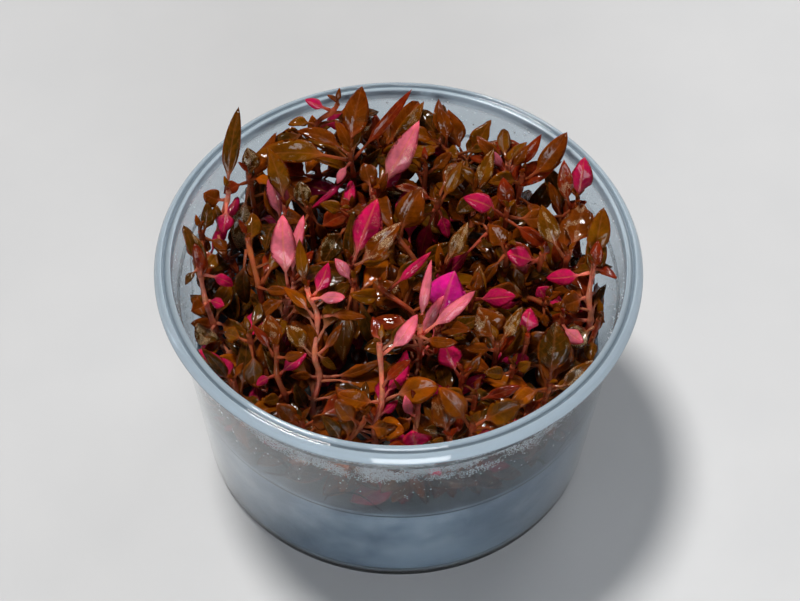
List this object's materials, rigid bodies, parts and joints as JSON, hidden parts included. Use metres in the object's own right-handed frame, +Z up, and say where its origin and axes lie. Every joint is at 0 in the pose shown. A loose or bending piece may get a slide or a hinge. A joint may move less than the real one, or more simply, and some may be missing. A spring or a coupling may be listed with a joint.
{
  "type": "potted aquarium plant",
  "caption": "Low round open tub of see-through plastic with a bed of gel, planted all over with small upright stems of pointed red, olive and pink leaves",
  "frame": {"origin": "centre of the tub's underside, on the plane it stands on", "axes": "+Z is up, +X is to the right and -Y is towards the viewer as in the picture"},
  "size_m": [0.1, 0.1, 0.0658],
  "materials": {
    "frosted_plastic": "frosted see-through moulding with a slightly glossy rim",
    "gel": "milky wet gel",
    "leaf_olive": "wet glossy leaf",
    "leaf_magenta": "wet glossy leaf",
    "leaf_ochre": "wet glossy leaf",
    "leaf_pink": "wet glossy leaf",
    "leaf_brown": "wet glossy leaf",
    "leaf_red": "wet glossy leaf"
  },
  "bodies": {
    "root": {"tub": "frosted_plastic", "nutrient_gel": "gel", "plantlet_01": "leaf_olive", "plantlet_02": "leaf_olive", "plantlet_03": "leaf_magenta", "plantlet_04": "leaf_olive", "plantlet_05": "leaf_ochre", "plantlet_06": "leaf_magenta", "plantlet_07": "leaf_olive", "plantlet_08": "leaf_ochre", "plantlet_09": "leaf_pink", "plantlet_10": "leaf_olive", "plantlet_11": "leaf_ochre", "plantlet_12": "leaf_ochre", "plantlet_13": "leaf_brown", "plantlet_14": "leaf_pink", "plantlet_15": "leaf_magenta", "plantlet_16": "leaf_pink", "plantlet_17": "leaf_ochre", "plantlet_18": "leaf_pink", "plantlet_19": "leaf_magenta", "plantlet_20": "leaf_magenta", "plantlet_21": "leaf_magenta", "plantlet_22": "leaf_brown", "plantlet_23": "leaf_magenta", "plantlet_24": "leaf_brown", "plantlet_25": "leaf_magenta", "plantlet_26": "leaf_pink", "plantlet_27": "leaf_brown", "plantlet_28": "leaf_magenta", "plantlet_29": "leaf_ochre", "plantlet_30": "leaf_magenta", "plantlet_31": "leaf_olive", "plantlet_32": "leaf_olive", "plantlet_33": "leaf_brown", "plantlet_34": "leaf_magenta", "plantlet_35": "leaf_magenta", "plantlet_36": "leaf_magenta", "plantlet_37": "leaf_brown", "plantlet_38": "leaf_brown", "plantlet_39": "leaf_red", "plantlet_40": "leaf_ochre", "plantlet_41": "leaf_pink", "plantlet_42": "leaf_pink", "plantlet_43": "leaf_brown", "plantlet_44": "leaf_brown", "plantlet_45": "leaf_olive", "plantlet_46": "leaf_ochre", "plantlet_47": "leaf_brown", "plantlet_48": "leaf_brown", "plantlet_49": "leaf_ochre", "plantlet_50": "leaf_ochre", "plantlet_51": "leaf_brown", "plantlet_52": "leaf_magenta", "plantlet_53": "leaf_ochre"}
  },
  "joints": []
}
